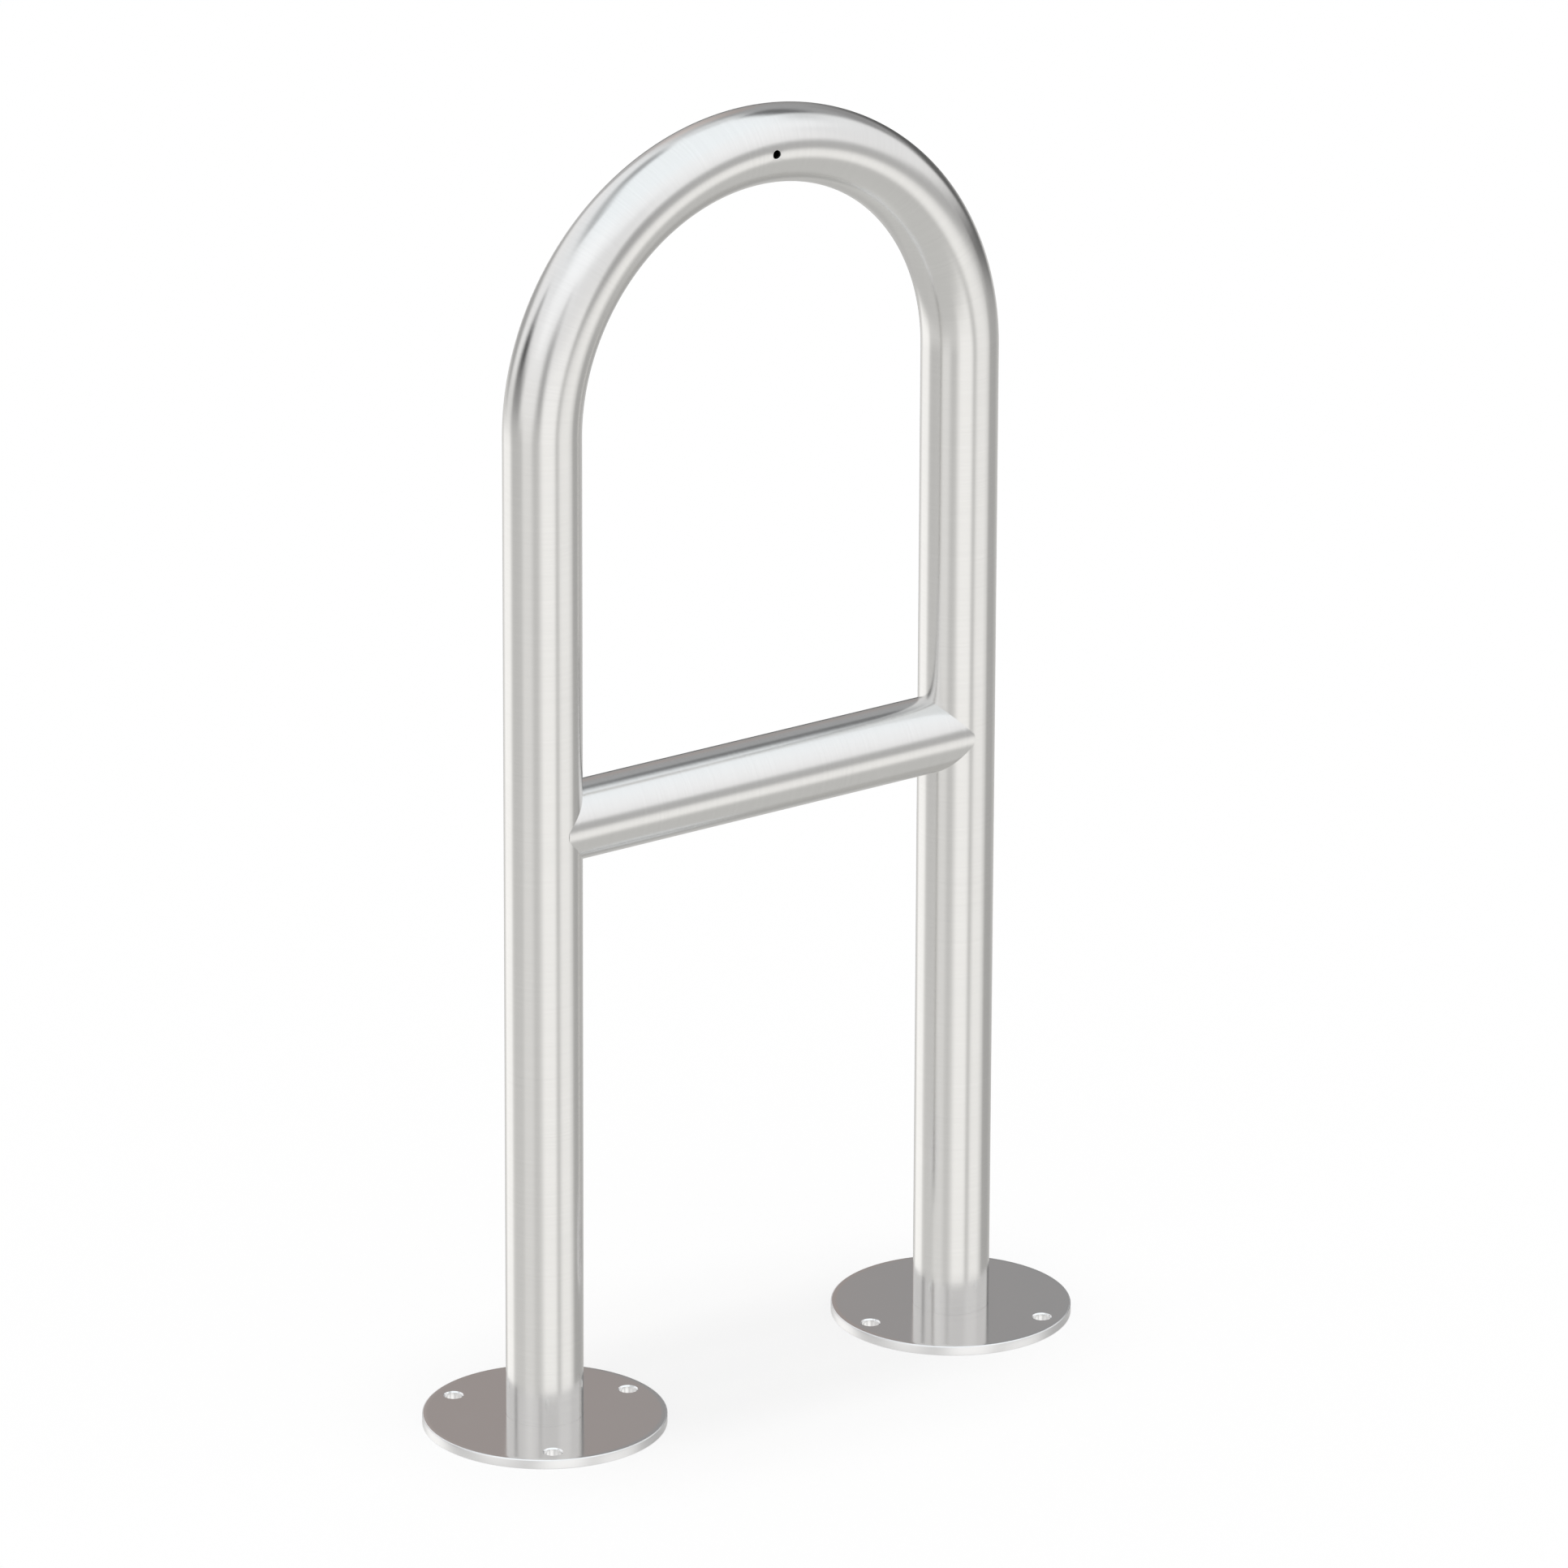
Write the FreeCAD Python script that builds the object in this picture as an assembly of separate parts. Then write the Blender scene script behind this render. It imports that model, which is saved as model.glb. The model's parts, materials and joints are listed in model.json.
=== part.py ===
"""Floor bike rack: a bent tube hoop with a cross tube, welded to two round plates that are anchored to the ground.

The origin is on the ground, midway between the legs. +X runs from the left leg to the right leg, +Y to the back
and +Z up. Every size is in millimetres.
"""

import FreeCAD
import Part
import math
import os

# Tube stock, used for the hoop and for the cross tube
TUBE_DIAMETER = 48.3
TUBE_WALL = 2.0

# Hoop
LEG_SPACING = 313.0  # between the leg axes, and so the diameter of the half-round bend
HOOP_HEIGHT = 825.0  # from the ground to the top of the bend
VENT_DIAMETER = 5.5  # drilled through the front wall at the top of the bend

# Cross tube and its welds
CROSS_HEIGHT = 393.0  # axis above the ground
CROSS_WELD_GAP = 1.5  # left between the coped end and the leg, and filled by the weld
CROSS_WELD_TOE = 3.0  # where the weld runs out beside the leg, measured from the leg's widest line

# Base plates
PLATE_DIAMETER = 152.4  # a disc of 6 inches
PLATE_THICKNESS = 6.0
PLATE_EDGE_CHAMFER = 0.8  # round the top of the rim
LEG_CLEARANCE = 0.15  # all round the leg in the plate's bore

# Anchor holes
ANCHOR_COUNT = 3
ANCHOR_HOLE_DIAMETER = 11.0
ANCHOR_EDGE_DISTANCE = 13.2  # from a hole's centre to the plate's rim

# Base welds, made from below
BASE_WELD_GROOVE = 3.0  # width and depth of the groove round the bore, under the plate
UNDERSIDE_RECESS = 0.4  # legs and welds stop this far above the ground, so that the plates sit flat

# Sizes that follow from those above
TUBE_RADIUS = TUBE_DIAMETER / 2
BORE_RADIUS = TUBE_RADIUS - TUBE_WALL
LEG_X = LEG_SPACING / 2
SPRING_HEIGHT = HOOP_HEIGHT - TUBE_RADIUS - LEG_X  # where the legs run into the bend
APEX_HEIGHT = SPRING_HEIGHT + LEG_X
PLATE_RADIUS = PLATE_DIAMETER / 2
PLATE_BORE_RADIUS = TUBE_RADIUS + LEG_CLEARANCE
ANCHOR_CIRCLE_RADIUS = PLATE_RADIUS - ANCHOR_EDGE_DISTANCE

Vector = FreeCAD.Vector
ALONG_X = Vector(1, 0, 0)
TO_FRONT = Vector(0, -1, 0)
UP = Vector(0, 0, 1)

SIDES = {"left": -1, "right": 1}


def revolved(outline, x):
    """Turns an outline of (radius, height) points about the upright axis at x."""
    points = [Vector(x + radius, 0, height) for radius, height in outline]
    face = Part.Face(Part.makePolygon(points + points[:1]))
    return face.revolve(Vector(x, 0, 0), UP, 360)


def leg_cylinder(side, radius):
    """A full-height cylinder on one leg's axis."""
    return Part.makeCylinder(radius, HOOP_HEIGHT, Vector(side * LEG_X, 0, 0), UP)


def hoop_path():
    """The hoop's centre line: up the left leg, round the bend and down the right leg."""
    left_foot = Vector(-LEG_X, 0, UNDERSIDE_RECESS)
    left_spring = Vector(-LEG_X, 0, SPRING_HEIGHT)
    apex = Vector(0, 0, APEX_HEIGHT)
    right_spring = Vector(LEG_X, 0, SPRING_HEIGHT)
    right_foot = Vector(LEG_X, 0, UNDERSIDE_RECESS)
    return Part.Wire([
        Part.LineSegment(left_foot, left_spring).toShape(),
        Part.Arc(left_spring, apex, right_spring).toShape(),
        Part.LineSegment(right_spring, right_foot).toShape(),
    ])


def swept_round(path, radius):
    """A solid round bar along the hoop's centre line."""
    start = path.OrderedVertexes[0].Point
    circle = Part.Wire(Part.Circle(start, UP, radius).toShape())
    return path.makePipeShell([circle], True, False)


def hoop_tube():
    """The bent tube, with the vent hole through its front wall."""
    path = hoop_path()
    tube = swept_round(path, TUBE_RADIUS).cut(swept_round(path, BORE_RADIUS))
    vent = Part.makeCylinder(VENT_DIAMETER / 2, TUBE_DIAMETER, Vector(0, 0, APEX_HEIGHT), TO_FRONT)
    return tube.cut(vent)


def cross_tube_blank(start_x, end_x):
    """A square-ended length of tube at the cross tube's height."""
    start = Vector(start_x, 0, CROSS_HEIGHT)
    length = end_x - start_x
    outside = Part.makeCylinder(TUBE_RADIUS, length, start, ALONG_X)
    inside = Part.makeCylinder(BORE_RADIUS, length, start, ALONG_X)
    return outside.cut(inside)


def cross_tube():
    """The cross tube, coped at both ends to the round of the legs and short of them by the weld gap."""
    tube = cross_tube_blank(-LEG_X, LEG_X)
    for side in SIDES.values():
        tube = tube.cut(leg_cylinder(side, TUBE_RADIUS + CROSS_WELD_GAP))
    return tube


def cross_weld(side):
    """The weld that fills the gap between a leg and the cope, through the tube's whole wall and flush with it."""
    inner_ends = sorted([side * (LEG_X - CROSS_WELD_TOE), 0])
    wall = cross_tube_blank(*inner_ends)
    gap = leg_cylinder(side, TUBE_RADIUS + CROSS_WELD_GAP).cut(leg_cylinder(side, TUBE_RADIUS))
    return wall.common(gap)


def base_plate(side):
    """A round plate with the leg's bore, the weld groove under it, and one anchor hole towards the other leg."""
    x = side * LEG_X
    plate = revolved([
        (PLATE_BORE_RADIUS, PLATE_THICKNESS),
        (PLATE_RADIUS - PLATE_EDGE_CHAMFER, PLATE_THICKNESS),
        (PLATE_RADIUS, PLATE_THICKNESS - PLATE_EDGE_CHAMFER),
        (PLATE_RADIUS, 0),
        (PLATE_BORE_RADIUS + BASE_WELD_GROOVE, 0),
        (PLATE_BORE_RADIUS, BASE_WELD_GROOVE),
    ], x)
    for number in range(ANCHOR_COUNT):
        angle = 2 * math.pi * number / ANCHOR_COUNT
        hole_x = x - side * ANCHOR_CIRCLE_RADIUS * math.cos(angle)
        hole_y = ANCHOR_CIRCLE_RADIUS * math.sin(angle)
        hole = Part.makeCylinder(ANCHOR_HOLE_DIAMETER / 2, PLATE_THICKNESS, Vector(hole_x, hole_y, 0), UP)
        plate = plate.cut(hole)
    return plate


def base_weld(side):
    """The ring of weld in the groove, between the leg's wall and the groove's slope."""
    return revolved([
        (TUBE_RADIUS, UNDERSIDE_RECESS),
        (TUBE_RADIUS, BASE_WELD_GROOVE + LEG_CLEARANCE),
        (PLATE_BORE_RADIUS + BASE_WELD_GROOVE - UNDERSIDE_RECESS, UNDERSIDE_RECESS),
    ], side * LEG_X)


def on_both_legs(piece):
    """The same piece at each leg, as separate solids of one node."""
    return Part.makeCompound([piece(side) for side in SIDES.values()])


def all_pieces():
    """Every piece by the name of its node."""
    pieces = {"hoop_tube": hoop_tube(), "cross_tube": cross_tube()}
    for name, side in SIDES.items():
        pieces[name + "_base_plate"] = base_plate(side)
    pieces["base_welds"] = on_both_legs(base_weld)
    pieces["cross_welds"] = on_both_legs(cross_weld)
    return pieces


os.makedirs("parts", exist_ok=True)
for node, shape in all_pieces().items():
    shape.exportStep("parts/" + node + ".step")
    print(node, "solids", len(shape.Solids), "valid", shape.isValid(), "volume", round(shape.Volume, 1))
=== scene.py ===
"""Looks of the floor bike rack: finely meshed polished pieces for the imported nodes, in a white studio.

Lengths are in metres in the model's own frame: the origin on the ground midway between the legs, +X from
the left leg to the right leg, +Y to the back and +Z up. Angles are in degrees where they are named values.
"""

import json
import math

import bmesh
import bpy
from mathutils import Matrix, Vector


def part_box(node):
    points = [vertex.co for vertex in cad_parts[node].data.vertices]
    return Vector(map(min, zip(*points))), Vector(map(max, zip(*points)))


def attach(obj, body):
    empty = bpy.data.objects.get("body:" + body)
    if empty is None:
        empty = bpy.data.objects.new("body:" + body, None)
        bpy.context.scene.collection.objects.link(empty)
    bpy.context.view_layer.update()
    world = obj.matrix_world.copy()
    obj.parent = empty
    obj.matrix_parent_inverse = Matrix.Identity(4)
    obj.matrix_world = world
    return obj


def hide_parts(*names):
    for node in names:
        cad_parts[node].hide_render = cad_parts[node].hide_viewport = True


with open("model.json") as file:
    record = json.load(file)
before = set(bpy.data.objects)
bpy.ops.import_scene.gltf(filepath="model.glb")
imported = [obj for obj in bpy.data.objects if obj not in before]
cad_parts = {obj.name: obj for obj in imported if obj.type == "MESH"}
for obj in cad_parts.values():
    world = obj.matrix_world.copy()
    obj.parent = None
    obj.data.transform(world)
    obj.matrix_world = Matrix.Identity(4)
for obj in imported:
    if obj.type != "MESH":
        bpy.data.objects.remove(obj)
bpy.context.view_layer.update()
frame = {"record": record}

MM = 0.001

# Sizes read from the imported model
mounts = {mount["name"]: mount for mount in frame["record"]["mounts"]}
anchors = mounts["right_anchor_holes"]
hoop_low, hoop_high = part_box("hoop_tube")
cross_low, cross_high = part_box("cross_tube")
_, plate_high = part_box("right_base_plate")
_, base_weld_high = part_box("base_welds")
_, cross_weld_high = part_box("cross_welds")

LEG_X = anchors["pos_m"][0]
TUBE_RADIUS = (cross_high.z - cross_low.z) / 2
CROSS_HEIGHT = (cross_high.z + cross_low.z) / 2
FOOT_HEIGHT = hoop_low.z
SPRING_HEIGHT = hoop_high.z - TUBE_RADIUS - LEG_X  # where the legs run into the bend
PLATE_RADIUS = plate_high.x - LEG_X
PLATE_THICKNESS = plate_high.z
ANCHOR_COUNT = anchors["dims"]["count"]
ANCHOR_RADIUS = anchors["dims"]["hole_r_mm"] * MM
ANCHOR_CIRCLE = anchors["dims"]["pcd_mm"] * MM / 2
BASE_WELD_RADIUS = base_weld_high.x - LEG_X
BASE_WELD_TOP = base_weld_high.z
CROSS_WELD_TOE = LEG_X - cross_weld_high.x

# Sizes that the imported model's boxes don't give
TUBE_WALL = 2.0 * MM
VENT_RADIUS = 2.75 * MM
CROSS_WELD_GAP = 1.5 * MM
LEG_CLEARANCE = 0.03 * MM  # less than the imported 0.15, because no gap shows round the legs
BASE_WELD_GROOVE = 3.0 * MM
RIM_ROUNDING = 0.8 * MM
FINE_EDGE = 0.25 * MM  # broken edges of feet, vent and plates
ANCHOR_EDGE = 0.8 * MM  # bevel round the anchor holes
WELD_RIPPLE = 0.3 * MM  # depth of the ripples in the weld under a plate
WELD_RIPPLE_COUNT = 44

# Fineness of the meshes
TUBE_POINTS = 128
PLATE_POINTS = 192
LEG_STEPS = 12
BEND_STEPS = 120
CROSS_STEPS = 12
ROUNDING_STEPS = 5
WELD_STEPS = 8
PATCH_STEPS = 3
VENT_WINDOW_COLUMNS = 6  # each way from the vent's middle
VENT_WINDOW_ROWS = 2
ANCHOR_WINDOW_COLUMNS = 5
ANCHOR_WINDOW_ROWS = 4
ANCHOR_WINDOW = 9.0 * MM  # from the hole's middle to the window's inner and outer edge
SHARP_EDGE = 30.0  # faces that meet at more than this are shaded apart
SHARP_SADDLE_EDGE = 10.0

# Lengths along the hoop's centre line
BORE_RADIUS = TUBE_RADIUS - TUBE_WALL
LEG_LENGTH = SPRING_HEIGHT - FOOT_HEIGHT
BEND_LENGTH = math.pi * LEG_X
HOOP_LENGTH = 2 * LEG_LENGTH + BEND_LENGTH

FRONT = Vector((0, -1, 0))
SIDES = {"left": -1, "right": 1}
PLACE_LAYER = "unbent_place"  # where each point of a tube would be if the tube were straight along X

# Order of the materials on a tube and on a plate
OUTSIDE, INSIDE = range(2)
TOP, UNDERSIDE, RIM, HOLE = range(4)

# Surface patterns
NOISE_LOW = 0.3  # the noise rarely goes below this or above the next
NOISE_HIGH = 0.7
BROAD_LINE_HEIGHT = 2.0  # of the tube's broad lines against its fine ones

# Camera, as fitted to the photograph
CAMERA_AIM = Vector((24.4 * MM, 0, 383.3 * MM))
CAMERA_DISTANCE = 7.598
CAMERA_TURN = 35.71  # from looking along +Y towards +X
CAMERA_TILT = 20.18  # below the horizon
CAMERA_ROLL = -0.245
CAMERA_LENS = 281.96  # millimetres, on a sensor 36 wide
CAMERA_SENSOR = 36.0
CAMERA_REACH = 100.0

# Studio
FLOOR_SIZE = 30.0
FLOOR_STEPS = 8
FLOOR_COLOUR = 0.52
FLOOR_GLOW = 0.48  # what the camera sees added to the floor, so that it is white outside the shadow
SKY_FOR_FLOOR = 0.65
SKY_FOR_CAMERA = 1.0
LAMP_STRENGTH = 0.35 * math.pi  # with the sky, this lights a level surface at 1
LAMP_SPREAD = 22.0  # degrees across
STRAIGHT_DOWN = -90.0
STRAIGHT_UP = 90.0
HALF_TURN = 180.0
WHITE = (1, 1, 1, 1)


# Mesh helpers

def circle_angles(count):
    return [2 * math.pi * step / count for step in range(count)]


def lay_ring(bm, points):
    """New vertices at the points."""
    return [bm.verts.new(point) for point in points]


def join_rings(bm, first, second, skipped=(), material=0):
    """Quads between two closed rings of as many vertices, but not in the skipped columns."""
    count = len(first)
    for column in range(count):
        if column in skipped:
            continue
        following = (column + 1) % count
        face = bm.faces.new((first[column], first[following], second[following], second[column]))
        face.material_index = material


def join_in_turn(bm, rings, material=0):
    for first, second in zip(rings, rings[1:]):
        join_rings(bm, first, second, material=material)


def windowed_wall(bm, rings, rows, windows, material):
    """Joins rings into a wall with windows left open in the same rows, and returns the windows' edges.

    A window is its first and last column. Columns below 0 count from the ring's end. An edge is a ring of
    vertices, in order round its window.
    """
    count = len(rings[0])
    open_columns = {column % count for first, last in windows for column in range(first, last)}
    top, bottom = rows
    for row, (upper, lower) in enumerate(zip(rings, rings[1:])):
        skipped = open_columns if top <= row < bottom else ()
        join_rings(bm, upper, lower, skipped, material)
    edges = []
    for first, last in windows:
        edge = [rings[top][column % count] for column in range(first, last)]
        edge += [rings[row][last % count] for row in range(top, bottom)]
        edge += [rings[bottom][column % count] for column in range(last, first, -1)]
        edge += [rings[row][first % count] for row in range(bottom, top, -1)]
        edges.append(edge)
    return edges


def patch_to_hole(bm, edge, centre, radius, flatten, raise_up, material):
    """Fills from a window's edge to a round hole and returns the hole's ring.

    flatten turns a place into two coordinates across the hole, and raise_up puts those back on the surface.
    """
    offsets = [flatten(vertex.co) - centre for vertex in edge]
    ring = edge
    for step in range(1, PATCH_STEPS + 1):
        share = step / PATCH_STEPS
        targets = [offset.lerp(offset.normalized() * radius, share) for offset in offsets]
        following = lay_ring(bm, [raise_up(centre + target) for target in targets])
        join_rings(bm, ring, following, material=material)
        ring = following
    return ring


def add_piece(name, bm, materials, slot, *nodes, place=None, sharp=SHARP_EDGE):
    """Makes the object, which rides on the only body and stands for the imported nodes.

    place, for a tube or a weld on one, gives each point's unbent place, which the tube's material reads.
    """
    loose = [vertex for vertex in bm.verts if not vertex.link_faces]
    bmesh.ops.delete(bm, geom=loose, context="VERTS")
    bmesh.ops.recalc_face_normals(bm, faces=bm.faces[:])
    if place:
        layer = bm.verts.layers.float_vector.new(PLACE_LAYER)
        for vertex in bm.verts:
            vertex[layer] = place(vertex.co)
    mesh = bpy.data.meshes.new(name)
    bm.to_mesh(mesh)
    bm.free()
    mesh.shade_smooth()
    mesh.set_sharp_from_angle(angle=math.radians(sharp))
    for material in materials:
        mesh.materials.append(material)
    piece = bpy.data.objects.new(name, mesh)
    bpy.context.scene.collection.objects.link(piece)
    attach(piece, "root")
    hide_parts(*nodes)


# Material helpers

def link_or_set(tree, socket, value):
    """Feeds a socket from another one, or sets it to a constant."""
    if isinstance(value, bpy.types.NodeSocket):
        tree.links.new(value, socket)
    else:
        socket.default_value = value


def math_node(tree, operation, *values):
    node = tree.nodes.new("ShaderNodeMath")
    node.operation = operation
    for socket, value in zip(node.inputs, values):
        link_or_set(tree, socket, value)
    return node.outputs["Value"]


def map_range(tree, value, from_low, from_high, to_low, to_high, smooth=False):
    node = tree.nodes.new("ShaderNodeMapRange")
    node.interpolation_type = "SMOOTHSTEP" if smooth else "LINEAR"
    ends = {"Value": value, "From Min": from_low, "From Max": from_high, "To Min": to_low, "To Max": to_high}
    for name, end in ends.items():
        link_or_set(tree, node.inputs[name], end)
    return node.outputs["Result"]


def mix_node(tree, kind, share, first, second):
    """Goes from the first colour or level to the second, by the kind: RGBA or FLOAT."""
    node = tree.nodes.new("ShaderNodeMix")
    node.data_type = kind
    inputs = {socket.name: socket for socket in node.inputs if socket.enabled}
    for name, value in {"Factor": share, "A": first, "B": second}.items():
        link_or_set(tree, inputs[name], value)
    return next(socket for socket in node.outputs if socket.enabled)


def stretched_noise(tree, place, grains_per_metre, detail):
    """Noise with so many grains to the metre along X, Y and Z."""
    scaled = tree.nodes.new("ShaderNodeVectorMath")
    scaled.operation = "MULTIPLY"
    for socket, value in zip(scaled.inputs, (place, grains_per_metre)):
        link_or_set(tree, socket, value)
    noise = tree.nodes.new("ShaderNodeTexNoise")
    noise.inputs["Scale"].default_value = 1.0
    noise.inputs["Detail"].default_value = detail
    tree.links.new(scaled.outputs["Vector"], noise.inputs["Vector"])
    return noise.outputs["Fac"]


def new_steel(name):
    """A new metal material, its node tree and its shader."""
    material = bpy.data.materials.new(name)
    material.use_nodes = True
    tree = material.node_tree
    shader = tree.nodes["Principled BSDF"]
    shader.inputs["Metallic"].default_value = 1.0
    return material, tree, shader


def tube_place(tree):
    node = tree.nodes.new("ShaderNodeAttribute")
    node.attribute_name = PLACE_LAYER
    return node.outputs["Vector"]


def object_place(tree):
    return tree.nodes.new("ShaderNodeTexCoord").outputs["Object"]


def set_colour(tree, shader, pattern, dark, light):
    colour = mix_node(tree, "RGBA", pattern, (*dark, 1), (*light, 1))
    tree.links.new(colour, shader.inputs["Base Color"])


def set_roughness(tree, shader, pattern, smoothest, dullest):
    roughness = map_range(tree, pattern, NOISE_LOW, NOISE_HIGH, smoothest, dullest)
    tree.links.new(roughness, shader.inputs["Roughness"])


def set_bump(tree, shader, pattern, depth):
    bump = tree.nodes.new("ShaderNodeBump")
    bump.inputs["Strength"].default_value = 1.0
    bump.inputs["Distance"].default_value = depth
    tree.links.new(pattern, bump.inputs["Height"])
    tree.links.new(bump.outputs["Normal"], shader.inputs["Normal"])


# Materials

def polished_tube():
    """Stainless tube polished to a soft mirror, with faint lines round it and a trace of handling."""
    material, tree, shader = new_steel("polished_tube")
    place = tube_place(tree)
    fine_lines = stretched_noise(tree, place, grains_per_metre=(1400, 25, 25), detail=2)
    broad_lines = stretched_noise(tree, place, grains_per_metre=(320, 12, 12), detail=1)
    smudges = stretched_noise(tree, place, grains_per_metre=(22, 30, 30), detail=3)
    raised_lines = math_node(tree, "MULTIPLY", broad_lines, BROAD_LINE_HEIGHT)
    set_colour(tree, shader, fine_lines, dark=(0.77, 0.765, 0.755), light=(0.83, 0.825, 0.815))
    set_roughness(tree, shader, smudges, smoothest=0.17, dullest=0.20)
    set_bump(tree, shader, math_node(tree, "ADD", fine_lines, raised_lines), depth=0.006 * MM)
    return material


def polished_plate():
    """Stainless plate polished to a flat mirror, with fine straight grain."""
    material, tree, shader = new_steel("polished_plate")
    place = object_place(tree)
    grain = stretched_noise(tree, place, grains_per_metre=(30, 1600, 30), detail=2)
    smudges = stretched_noise(tree, place, grains_per_metre=(30, 30, 30), detail=3)
    set_colour(tree, shader, smudges, dark=(0.69, 0.68, 0.67), light=(0.71, 0.70, 0.69))
    set_roughness(tree, shader, smudges, smoothest=0.10, dullest=0.13)
    set_bump(tree, shader, grain, depth=0.0006 * MM)
    return material


def ground_weld():
    """Bright weld metal in the grooves under the plates."""
    material, tree, shader = new_steel("ground_weld")
    marks = stretched_noise(tree, object_place(tree), grains_per_metre=(900, 900, 900), detail=2)
    set_colour(tree, shader, marks, dark=(0.76, 0.755, 0.745), light=(0.80, 0.795, 0.785))
    set_roughness(tree, shader, marks, smoothest=0.14, dullest=0.20)
    set_bump(tree, shader, marks, depth=0.003 * MM)
    return material


def mill_steel():
    """The dull rolled surface inside the tubes and under the plates."""
    material, tree, shader = new_steel("mill_steel")
    place = object_place(tree)
    cloud = stretched_noise(tree, place, grains_per_metre=(60, 60, 60), detail=4)
    grains = stretched_noise(tree, place, grains_per_metre=(1500, 1500, 1500), detail=2)
    set_colour(tree, shader, cloud, dark=(0.36, 0.355, 0.35), light=(0.46, 0.455, 0.45))
    set_roughness(tree, shader, cloud, smoothest=0.38, dullest=0.50)
    set_bump(tree, shader, grains, depth=0.01 * MM)
    return material


def cut_steel(name, smoothest, dullest):
    """The satin edge that turning leaves on a rim and drilling in a hole, with fine rings."""
    material, tree, shader = new_steel(name)
    rings = stretched_noise(tree, object_place(tree), grains_per_metre=(60, 60, 4000), detail=2)
    set_colour(tree, shader, rings, dark=(0.90, 0.90, 0.905), light=(0.94, 0.94, 0.945))
    set_roughness(tree, shader, rings, smoothest, dullest)
    set_bump(tree, shader, rings, depth=0.005 * MM)
    return material


# Hoop

def hoop_centre(distance):
    """A point of the hoop's centre line by its distance from the left foot, and the way outward there."""
    if distance <= LEG_LENGTH:
        return Vector((-LEG_X, 0, FOOT_HEIGHT + distance)), Vector((-1, 0, 0))
    if distance >= LEG_LENGTH + BEND_LENGTH:
        return Vector((LEG_X, 0, FOOT_HEIGHT + HOOP_LENGTH - distance)), Vector((1, 0, 0))
    turn = (distance - LEG_LENGTH) / LEG_X
    outward = Vector((-math.cos(turn), 0, math.sin(turn)))
    return Vector((0, 0, SPRING_HEIGHT)) + outward * LEG_X, outward


def hoop_ring(distance, radius):
    centre, outward = hoop_centre(distance)
    angles = circle_angles(TUBE_POINTS)
    return [centre + radius * (math.cos(angle) * FRONT + math.sin(angle) * outward) for angle in angles]


def hoop_place(at):
    """Where a point of the hoop would be if its centre line were straight along X."""
    if at.z < SPRING_HEIGHT:
        climbed = at.z - FOOT_HEIGHT
        distance = climbed if at.x < 0 else HOOP_LENGTH - climbed
        return Vector((distance, at.y, abs(at.x) - LEG_X))
    turn = math.atan2(at.z - SPRING_HEIGHT, -at.x)
    return Vector((LEG_LENGTH + turn * LEG_X, at.y, math.hypot(at.x, at.z - SPRING_HEIGHT) - LEG_X))


def seen_from_front(at):
    return Vector((at.x, at.z))


def vent_wall_place(radius, depth=0.0):
    """Puts a point seen from the front onto the bend's front wall of that radius, or a depth behind it."""
    def raise_up(flat):
        from_centre_line = math.hypot(flat.x, flat.y - SPRING_HEIGHT) - LEG_X
        return Vector((flat.x, depth - math.sqrt(radius ** 2 - from_centre_line ** 2), flat.y))
    return raise_up


def make_hoop(outside, inside):
    bm = bmesh.new()
    up_leg = [LEG_LENGTH * step / LEG_STEPS for step in range(1, LEG_STEPS)]
    round_bend = [LEG_LENGTH + BEND_LENGTH * step / BEND_STEPS for step in range(BEND_STEPS + 1)]
    down_leg = [HOOP_LENGTH - distance for distance in reversed(up_leg)]
    stations = [FINE_EDGE] + up_leg + round_bend + down_leg + [HOOP_LENGTH - FINE_EDGE]
    apex_row = len(stations) // 2
    rows = (apex_row - VENT_WINDOW_ROWS, apex_row + VENT_WINDOW_ROWS)
    window = (-VENT_WINDOW_COLUMNS, VENT_WINDOW_COLUMNS)
    vent_centre = Vector((0, SPRING_HEIGHT + LEG_X))

    walls = {}
    holes = {}
    for radius, material, hole_radius in (
        (TUBE_RADIUS, OUTSIDE, VENT_RADIUS + FINE_EDGE),
        (BORE_RADIUS, INSIDE, VENT_RADIUS),
    ):
        walls[radius] = [lay_ring(bm, hoop_ring(distance, radius)) for distance in stations]
        edge, = windowed_wall(bm, walls[radius], rows, [window], material)
        raise_up = vent_wall_place(radius)
        holes[radius] = patch_to_hole(bm, edge, vent_centre, hole_radius, seen_from_front, raise_up, material)

    drop = vent_wall_place(TUBE_RADIUS, FINE_EDGE)
    shoulders = [seen_from_front(vertex.co) - vent_centre for vertex in holes[TUBE_RADIUS]]
    shoulder = lay_ring(bm, [drop(vent_centre + offset.normalized() * VENT_RADIUS) for offset in shoulders])
    join_in_turn(bm, [holes[TUBE_RADIUS], shoulder], OUTSIDE)
    join_in_turn(bm, [shoulder, holes[BORE_RADIUS]], INSIDE)

    for end, distance in ((0, 0.0), (-1, HOOP_LENGTH)):
        outer_lip = lay_ring(bm, hoop_ring(distance, TUBE_RADIUS - FINE_EDGE))
        inner_lip = lay_ring(bm, hoop_ring(distance, BORE_RADIUS + FINE_EDGE))
        join_in_turn(bm, [walls[TUBE_RADIUS][end], outer_lip, inner_lip, walls[BORE_RADIUS][end]], INSIDE)
    add_piece("bent_hoop", bm, [outside, inside], "polished_tube", "hoop_tube", place=hoop_place)


# Cross tube and its welds

def cross_section(radius):
    """Offsets (y, z) of the points round the cross tube."""
    return [(radius * math.sin(angle), radius * math.cos(angle)) for angle in circle_angles(TUBE_POINTS)]


def beside_leg(y, leg_radius, toe=0.0):
    """How far from the rack's middle a round of that radius about the leg's axis is met, up to the toe."""
    return LEG_X - max(toe, math.sqrt(max(0.0, leg_radius ** 2 - y ** 2)))


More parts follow.
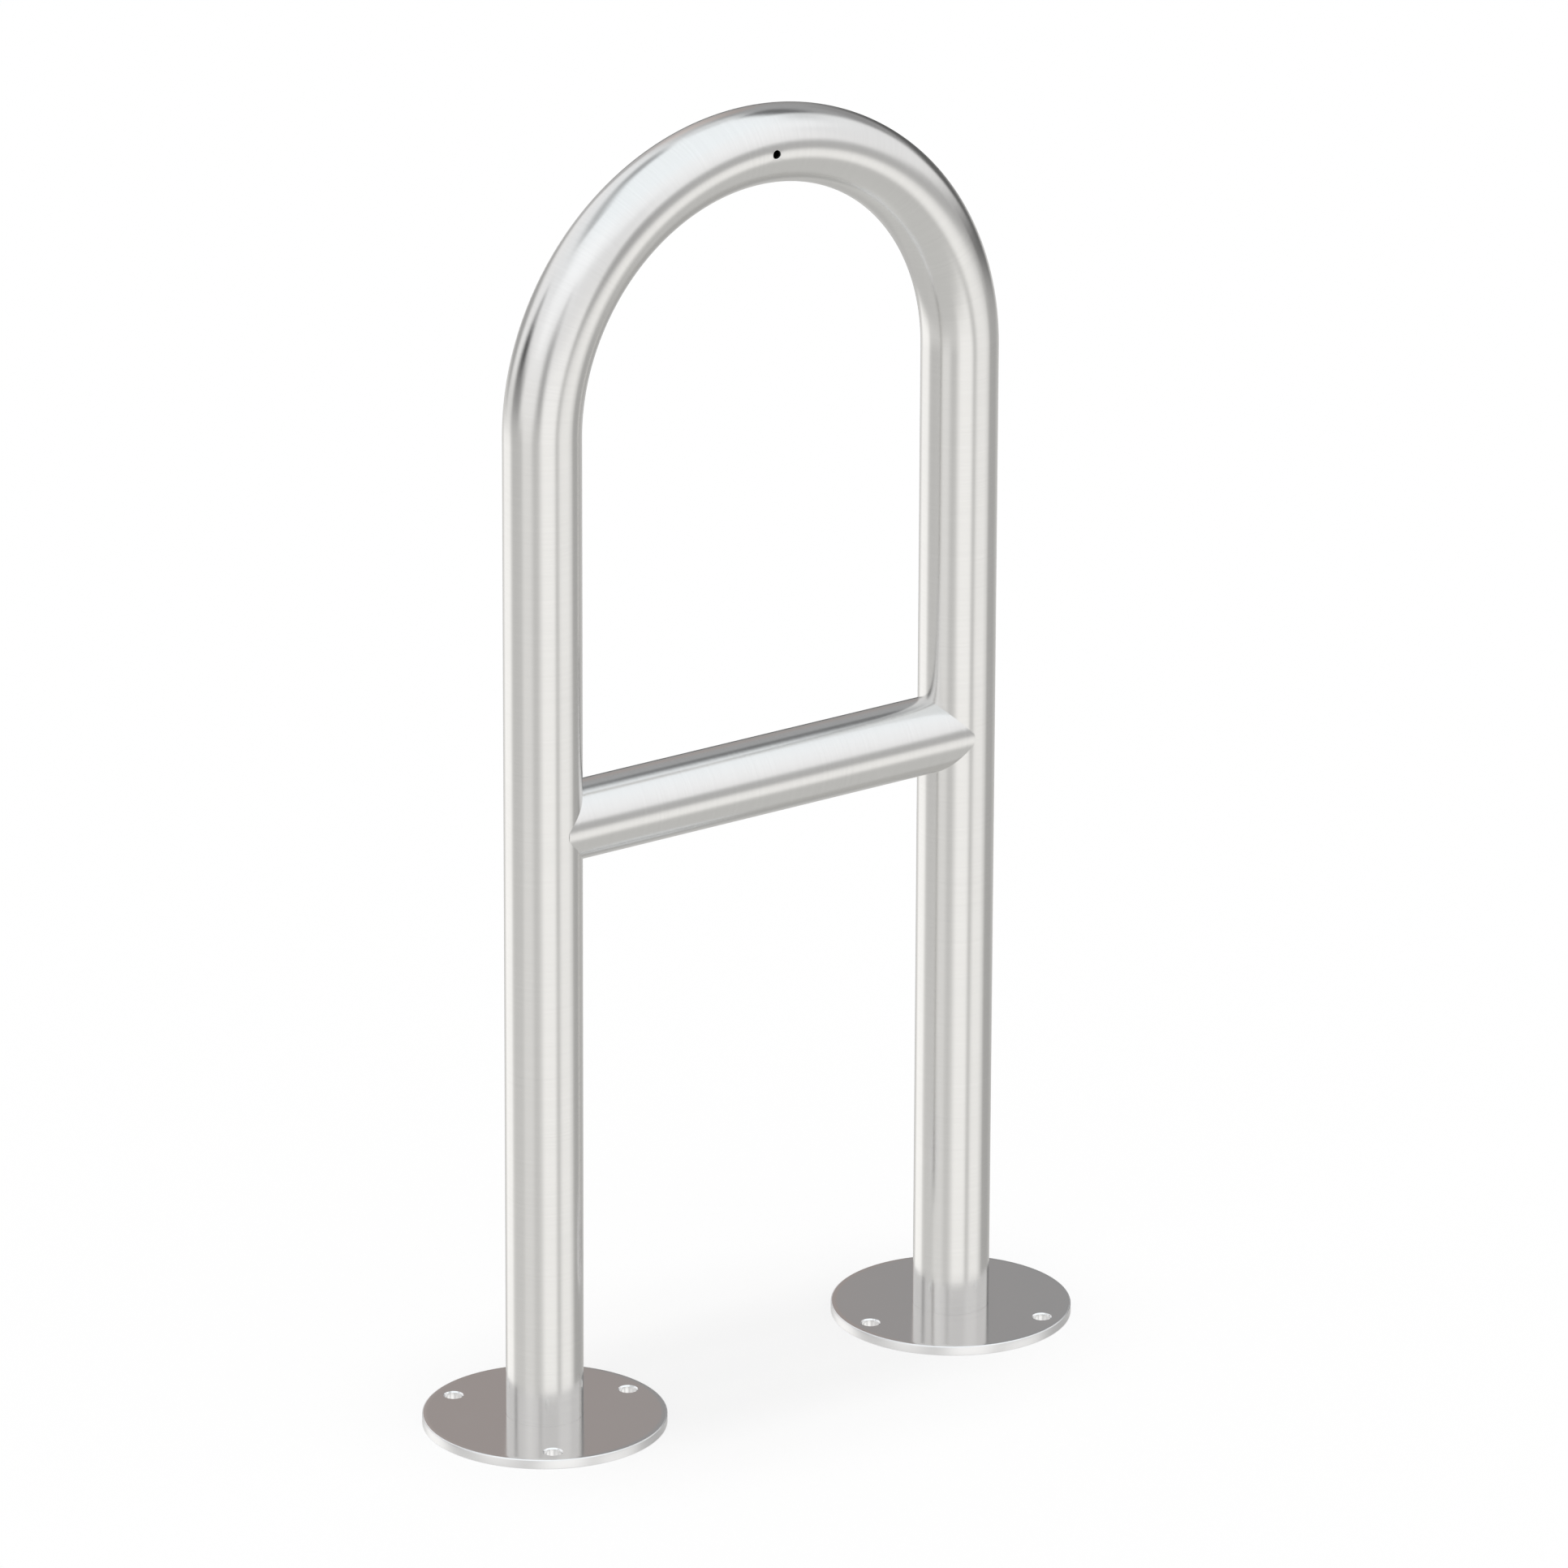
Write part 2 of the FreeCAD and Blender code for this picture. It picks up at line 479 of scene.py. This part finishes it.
def cross_place(at):
    return Vector((at.x, at.y, at.z - CROSS_HEIGHT))


def coped_ring(share, radius):
    """A ring of the cross tube, from the left cope at -1 to the right cope at 1."""
    points = []
    for y, z in cross_section(radius):
        x = share * beside_leg(y, TUBE_RADIUS + CROSS_WELD_GAP)
        points.append(Vector((x, y, CROSS_HEIGHT + z)))
    return points


def make_cross_tube(outside, inside):
    bm = bmesh.new()
    shares = [2 * step / CROSS_STEPS - 1 for step in range(CROSS_STEPS + 1)]
    outer = [lay_ring(bm, coped_ring(share, TUBE_RADIUS)) for share in shares]
    inner = [lay_ring(bm, coped_ring(share, BORE_RADIUS)) for share in shares]
    join_in_turn(bm, outer, OUTSIDE)
    join_in_turn(bm, inner, INSIDE)
    for end in (0, -1):
        join_rings(bm, outer[end], inner[end], material=INSIDE)
    add_piece("coped_cross_tube", bm, [outside, inside], "polished_tube", "cross_tube", place=cross_place)


def make_cross_weld(name, side, metal):
    """The saddle of weld between the cope and the leg, flush with the tube."""
    bm = bmesh.new()

    def ring(radius, leg_radius, toe):
        points = []
        for y, z in cross_section(radius):
            points.append(Vector((side * beside_leg(y, leg_radius, toe), y, CROSS_HEIGHT + z)))
        return lay_ring(bm, points)

    at_cope = TUBE_RADIUS + CROSS_WELD_GAP
    rings = [
        ring(TUBE_RADIUS, at_cope, 0.0),
        ring(TUBE_RADIUS, TUBE_RADIUS, CROSS_WELD_TOE),
        ring(BORE_RADIUS, TUBE_RADIUS, CROSS_WELD_TOE),
        ring(BORE_RADIUS, at_cope, 0.0),
    ]
    join_in_turn(bm, rings + rings[:1])
    add_piece(name, bm, [metal], "ground_weld", "cross_welds", place=cross_place, sharp=SHARP_SADDLE_EDGE)


# Base plates and their welds

def plate_ring(side, radius, height):
    """A ring about the leg's axis that starts towards the other leg."""
    points = []
    for angle in circle_angles(PLATE_POINTS):
        across = Vector((-side * math.cos(angle), math.sin(angle), 0))
        points.append(Vector((side * LEG_X, 0, height)) + radius * across)
    return points


def rounded_corner(centre_radius, centre_height, rounding, start, end):
    """Points (radius, height) round a corner, between two angles measured from level."""
    points = []
    for step in range(ROUNDING_STEPS + 1):
        angle = math.radians(start + (end - start) * step / ROUNDING_STEPS)
        outward = rounding * math.cos(angle)
        upward = rounding * math.sin(angle)
        points.append((centre_radius + outward, centre_height + upward))
    return points


def seen_from_above(at):
    return at.to_2d()


def make_plate(name, side, materials, node):
    """A plate with its holes. The materials are those of its top, underside, rim and holes."""
    bm = bmesh.new()
    bore = TUBE_RADIUS + LEG_CLEARANCE
    window_steps = range(-ANCHOR_WINDOW_ROWS, ANCHOR_WINDOW_ROWS + 1)
    window_radii = [ANCHOR_CIRCLE + ANCHOR_WINDOW * step / ANCHOR_WINDOW_ROWS for step in window_steps]
    rows = (1, len(window_radii))  # the first ring is the bore's
    spacing = PLATE_POINTS // ANCHOR_COUNT
    middles = [number * spacing for number in range(ANCHOR_COUNT)]
    windows = [(middle - ANCHOR_WINDOW_COLUMNS, middle + ANCHOR_WINDOW_COLUMNS) for middle in middles]
    on_circle = plate_ring(side, ANCHOR_CIRCLE, 0.0)
    hole_centres = [seen_from_above(on_circle[middle]) for middle in middles]

    def at_height(flat, height):
        return Vector((flat.x, flat.y, height))

    def pierced_face(radii, height, material):
        rings = [lay_ring(bm, plate_ring(side, radius, height)) for radius in radii]
        edges = windowed_wall(bm, rings, rows, windows, material)
        hole_radius = ANCHOR_RADIUS + ANCHOR_EDGE

        def raise_up(flat):
            return at_height(flat, height)

        holes = []
        for edge, centre in zip(edges, hole_centres):
            holes.append(patch_to_hole(bm, edge, centre, hole_radius, seen_from_above, raise_up, material))
        return rings, holes

    top_radii = [bore] + window_radii + [PLATE_RADIUS - RIM_ROUNDING]
    under_radii = [bore + BASE_WELD_GROOVE] + window_radii + [PLATE_RADIUS - FINE_EDGE]
    top_rings, top_holes = pierced_face(top_radii, PLATE_THICKNESS, TOP)
    under_rings, under_holes = pierced_face(under_radii, 0.0, UNDERSIDE)

    rim = rounded_corner(
        PLATE_RADIUS - RIM_ROUNDING, PLATE_THICKNESS - RIM_ROUNDING, RIM_ROUNDING, start=90, end=0)
    rim_rings = [lay_ring(bm, plate_ring(side, *point)) for point in rim[1:] + [(PLATE_RADIUS, FINE_EDGE)]]
    join_in_turn(bm, [top_rings[-1]] + rim_rings + [under_rings[-1]], RIM)

    groove_top = lay_ring(bm, plate_ring(side, bore, BASE_WELD_GROOVE))
    join_in_turn(bm, [top_rings[0], groove_top, under_rings[0]], UNDERSIDE)

    for upper, lower, centre in zip(top_holes, under_holes, hole_centres):
        offsets = [(seen_from_above(vertex.co) - centre).normalized() * ANCHOR_RADIUS for vertex in upper]
        walls = []
        for height in (PLATE_THICKNESS - ANCHOR_EDGE, ANCHOR_EDGE):
            walls.append(lay_ring(bm, [at_height(centre + offset, height) for offset in offsets]))
        join_in_turn(bm, [upper] + walls + [lower], HOLE)
    add_piece(name, bm, materials, "polished_plate", node)


def make_base_weld(name, side, metal):
    """The ring of weld in the groove under a plate, with its ripples."""
    bm = bmesh.new()
    rings = []
    for step in range(WELD_STEPS + 1):
        share = step / WELD_STEPS
        radius = TUBE_RADIUS + share * (BASE_WELD_RADIUS - TUBE_RADIUS)
        arch = math.sin(math.pi * share)
        points = plate_ring(side, radius, FOOT_HEIGHT)
        for point, angle in zip(points, circle_angles(PLATE_POINTS)):
            wave = abs(math.sin(WELD_RIPPLE_COUNT * angle / 2 + arch))
            point.z += WELD_RIPPLE * arch * (1 - wave)
        rings.append(lay_ring(bm, points))
    top = lay_ring(bm, plate_ring(side, TUBE_RADIUS, BASE_WELD_TOP))
    join_in_turn(bm, rings + [top, rings[0]])
    add_piece(name, bm, [metal], "ground_weld", "base_welds")


def make_pieces():
    """All pieces. The saddle welds are polished with the tubes, and have their material."""
    tube = polished_tube()
    weld = ground_weld()
    mill = mill_steel()
    cut_rim = cut_steel("cut_rim", smoothest=0.28, dullest=0.36)
    drilled_hole = cut_steel("drilled_hole", smoothest=0.16, dullest=0.22)
    plate_materials = [polished_plate(), mill, cut_rim, drilled_hole]
    make_hoop(tube, mill)
    make_cross_tube(tube, mill)
    for name, side in SIDES.items():
        make_plate(name + "_foot_plate", side, plate_materials, name + "_base_plate")
        make_base_weld(name + "_foot_weld", side, weld)
        make_cross_weld(name + "_saddle_weld", side, tube)


# Studio

# Soft-edged cards round the object as the metal sees them, each laid over those before it. Azimuth 0 is
# towards the camera, and + is to its right. Angles are in degrees, and the level is the card's brightness:
# name: (azimuth, elevation, half width, half height, softness, level)
STUDIO_CARDS = {
    "left wall": (-112, 22, 50, 26, 16, 0.96),
    "far left wall": (-167, 24, 9, 26, 16, 0.62),
    "far left low wall": (-163, 10, 9, 9, 12, 0.50),
    "left beam": (-116, 53, 38, 7, 14, 0.52),
    "left beam end": (-140, 54, 12, 6, 10, 0.42),
    "left door sill": (-87, -3, 17, 11, 18, 0.33),
    "left door": (-91, 9, 9, 8, 13, 0.05),
    "left door top": (-94, 21, 6, 4, 6, 0.46),
    "left gap": (-144, -3, 18, 11, 16, 0.42),
    "front window": (-25, 44, 24, 10, 16, 1.15),
    "front left light": (-43, 20, 9, 8, 10, 1.10),
    "front post": (-12.5, 1, 8.5, 16, 16, 0.42),
    "front wall": (21, 13, 22, 18, 16, 0.90),
    "front post top": (-11, 21, 5, 6, 10, 0.70),
    "right low wall": (75, -1, 31, 10, 10, 0.51),
    "right low wall end": (51, 0, 7, 8, 10, 0.42),
    "right panel": (110, 20, 26, 14, 14, 0.92),
    "right panel top": (122, 40, 14, 8, 14, 0.94),
    "right beam": (128, 45, 10, 4, 12, 0.74),
    "back wall": (164, 20, 25, 29, 14, 0.39),
    "back recess": (154, 20, 13, 5, 6, 0.30),
    "back low wall": (175, 10, 9, 7, 10, 0.34),
    "back wall top": (-176, 50, 10, 8, 8, 0.80),
    "back beam": (155, 46, 13, 7, 7, 0.13),
    "back shelf": (154, 2, 18, 8, 10, 0.10),
    "back floor shade": (180, -12, 12, 12, 10, 0.10),
    "far right dark": (131, -7, 25, 8, 18, 0.13),
    "far right dark edge": (134, -8, 9, 4, 8, 0.13),
    "front ground": (-20, -52, 68, 20, 20, 0.63),
    "far left ground": (-163, -48, 24, 16, 16, 0.55),
    "far left floor shade": (-160, -27, 10, 12, 10, 0.72),
    "far left low shade": (-153, -31, 14, 8, 10, 0.57),
    "left low shade": (-116, -9, 11, 5, 12, 0.80),
    "left floor glare": (-123, -22, 20, 6, 10, 1.15),
    "left floor shade": (-77, -17, 19, 5, 12, 0.56),
    "middle floor shade": (-19, -17, 9, 6, 14, 0.58),
    "front floor glare": (19, -15, 20, 16, 16, 1.06),
    "right floor shade": (45, -18, 5, 8, 8, 0.62),
    "right floor glare": (70, -23, 16, 8, 12, 1.02),
    "far right floor shade": (118, -21, 20, 10, 12, 0.46),
    "far right ground": (142, -47, 20, 30, 20, 0.45),
}
# What lies behind the cards, from straight down to straight up: (elevation, level)
STUDIO_BACKGROUND = [
    (-90, 0.75),
    (-74, 0.63),
    (-34, 0.60),
    (-26, 0.78),
    (-10, 0.95),
    (10, 0.97),
    (30, 1.07),
    (60, 1.11),
    (90, 1.10),
]
# The left plate mirrors a part of the back wall that is a little warmer than the part beside it, which the
# right plate mirrors: (azimuth, elevation, half width, half height, softness), as for a card
WARM_WALL = (189, 21, 9, 12, 3)
WARM_TINT = (1.11, 1.00, 0.965)
# The light is a little warm from the ground and a little blue from above: (elevation, tint)
STUDIO_TINT = [
    (-90, (1.00, 1.00, 0.97)),
    (-20, (1.01, 1.00, 0.98)),
    (20, (1.00, 1.00, 1.01)),
    (45, (0.98, 1.00, 1.02)),
    (62, (0.955, 1.00, 1.03)),
    (90, (0.955, 1.00, 1.03)),
]


def studio_angles(tree):
    """Azimuth and elevation in degrees of the direction that a ray leaves in."""
    direction = tree.nodes.new("ShaderNodeTexCoord").outputs["Generated"]
    turned = tree.nodes.new("ShaderNodeVectorRotate")
    turned.rotation_type = "Z_AXIS"
    turned.inputs["Angle"].default_value = math.radians(CAMERA_TURN)
    tree.links.new(direction, turned.inputs["Vector"])
    split = tree.nodes.new("ShaderNodeSeparateXYZ")
    tree.links.new(turned.outputs["Vector"], split.inputs["Vector"])
    towards_camera = math_node(tree, "MULTIPLY", split.outputs["Y"], -1.0)
    azimuth = math_node(tree, "ARCTAN2", split.outputs["X"], towards_camera)
    elevation = math_node(tree, "ARCSINE", split.outputs["Z"])
    return math_node(tree, "DEGREES", azimuth), math_node(tree, "DEGREES", elevation)


def soft_band(tree, angle, half, softness):
    """1 within the half width of an angle's zero, 0 beyond its soft edge."""
    away = math_node(tree, "ABSOLUTE", angle)
    return map_range(tree, away, half - softness / 2, half + softness / 2, 1.0, 0.0, smooth=True)


def ramp_by_elevation(tree, elevation, steps):
    """A colour by elevation, from (elevation, colour) steps."""
    ramp = tree.nodes.new("ShaderNodeValToRGB")
    tree.links.new(map_range(tree, elevation, STRAIGHT_DOWN, STRAIGHT_UP, 0.0, 1.0), ramp.inputs["Fac"])
    stops = ramp.color_ramp.elements
    for _ in steps[2:]:
        stops.new(0.5)  # anywhere, because its place is set below
    for stop, (angle, colour) in zip(stops, steps):
        stop.position = (angle - STRAIGHT_DOWN) / (STRAIGHT_UP - STRAIGHT_DOWN)
        stop.color = (*colour, 1)
    return ramp.outputs["Color"]


def card_share(tree, azimuth, elevation, card_azimuth, card_elevation, half_width, half_height, softness):
    """1 on a card, 0 off it, and between them over its soft edge."""
    beside = math_node(tree, "SUBTRACT", azimuth, card_azimuth)
    beside = math_node(tree, "WRAP", beside, HALF_TURN, -HALF_TURN)
    above = math_node(tree, "SUBTRACT", elevation, card_elevation)
    across = soft_band(tree, beside, half_width, softness)
    upright = soft_band(tree, above, half_height, softness)
    return math_node(tree, "MULTIPLY", across, upright)


def studio_light(tree):
    """The level and the tint of the studio in the direction that a ray leaves in."""
    azimuth, elevation = studio_angles(tree)
    greys = [(angle, (level, level, level)) for angle, level in STUDIO_BACKGROUND]
    seen = ramp_by_elevation(tree, elevation, greys)
    for *card, level in STUDIO_CARDS.values():
        seen = mix_node(tree, "FLOAT", card_share(tree, azimuth, elevation, *card), seen, level)
    tint = ramp_by_elevation(tree, elevation, STUDIO_TINT)
    warm = card_share(tree, azimuth, elevation, *WARM_WALL)
    return seen, mix_node(tree, "RGBA", warm, tint, (*WARM_TINT, 1))


def make_world():
    """White for the camera, an even sky for the floor, and the studio for what the metal mirrors."""
    world = bpy.data.worlds.new("studio")
    world.use_nodes = True
    bpy.context.scene.world = world
    tree = world.node_tree
    rays = tree.nodes.new("ShaderNodeLightPath").outputs
    plain = tree.nodes["Background"]
    sky = map_range(tree, rays["Is Camera Ray"], 0.0, 1.0, SKY_FOR_FLOOR, SKY_FOR_CAMERA)
    plain.inputs["Color"].default_value = WHITE
    tree.links.new(sky, plain.inputs["Strength"])
    studio = tree.nodes.new("ShaderNodeBackground")
    level, tint = studio_light(tree)
    tree.links.new(level, studio.inputs["Strength"])
    tree.links.new(tint, studio.inputs["Color"])
    mirrored = math_node(tree, "MAXIMUM", rays["Is Glossy Ray"], rays["Is Transmission Ray"])
    chosen = tree.nodes.new("ShaderNodeMixShader")
    backgrounds = [node.outputs["Background"] for node in (plain, studio)]
    for socket, value in zip(chosen.inputs, [mirrored] + backgrounds):
        tree.links.new(value, socket)
    tree.links.new(chosen.outputs["Shader"], tree.nodes["World Output"].inputs["Surface"])


def make_floor():
    bm = bmesh.new()
    bmesh.ops.create_grid(bm, x_segments=FLOOR_STEPS, y_segments=FLOOR_STEPS, size=FLOOR_SIZE / 2)
    mesh = bpy.data.meshes.new("floor")
    bm.to_mesh(mesh)
    bm.free()
    material = bpy.data.materials.new("floor_white")
    material.use_nodes = True
    tree = material.node_tree
    shader = tree.nodes["Principled BSDF"]
    shader.inputs["Base Color"].default_value = (FLOOR_COLOUR, FLOOR_COLOUR, FLOOR_COLOUR, 1)
    shader.inputs["Roughness"].default_value = 1.0
    shader.inputs["Specular IOR Level"].default_value = 0.0
    shader.inputs["Emission Color"].default_value = WHITE
    to_camera = tree.nodes.new("ShaderNodeLightPath").outputs["Is Camera Ray"]
    tree.links.new(math_node(tree, "MULTIPLY", to_camera, FLOOR_GLOW), shader.inputs["Emission Strength"])
    mesh.materials.append(material)
    floor = bpy.data.objects.new("floor", mesh)
    floor.visible_glossy = False
    bpy.context.scene.collection.objects.link(floor)


def make_lamp():
    """A soft light straight overhead, which gives the faint shadow between the plates."""
    light = bpy.data.lights.new("overhead_lamp", "SUN")
    light.angle = math.radians(LAMP_SPREAD)
    light.energy = LAMP_STRENGTH
    lamp = bpy.data.objects.new("overhead_lamp", light)
    lamp.visible_glossy = False
    bpy.context.scene.collection.objects.link(lamp)


def make_camera():
    turn, tilt, roll = (math.radians(angle) for angle in (CAMERA_TURN, CAMERA_TILT, CAMERA_ROLL))
    level = Vector((math.sin(turn), math.cos(turn), 0))
    forward = level * math.cos(tilt) - Vector((0, 0, math.sin(tilt)))
    data = bpy.data.cameras.new("camera")
    data.sensor_width = CAMERA_SENSOR
    data.lens = CAMERA_LENS
    data.clip_end = CAMERA_REACH
    camera = bpy.data.objects.new("camera", data)
    aimed = forward.to_track_quat("-Z", "Y").to_matrix().to_4x4()
    place = Matrix.Translation(CAMERA_AIM - forward * CAMERA_DISTANCE)
    camera.matrix_world = place @ aimed @ Matrix.Rotation(-roll, 4, "Z")
    bpy.context.scene.collection.objects.link(camera)
    bpy.context.scene.camera = camera


make_pieces()
make_world()
make_floor()
make_lamp()
make_camera()
bpy.context.scene.view_settings.view_transform = "Standard"
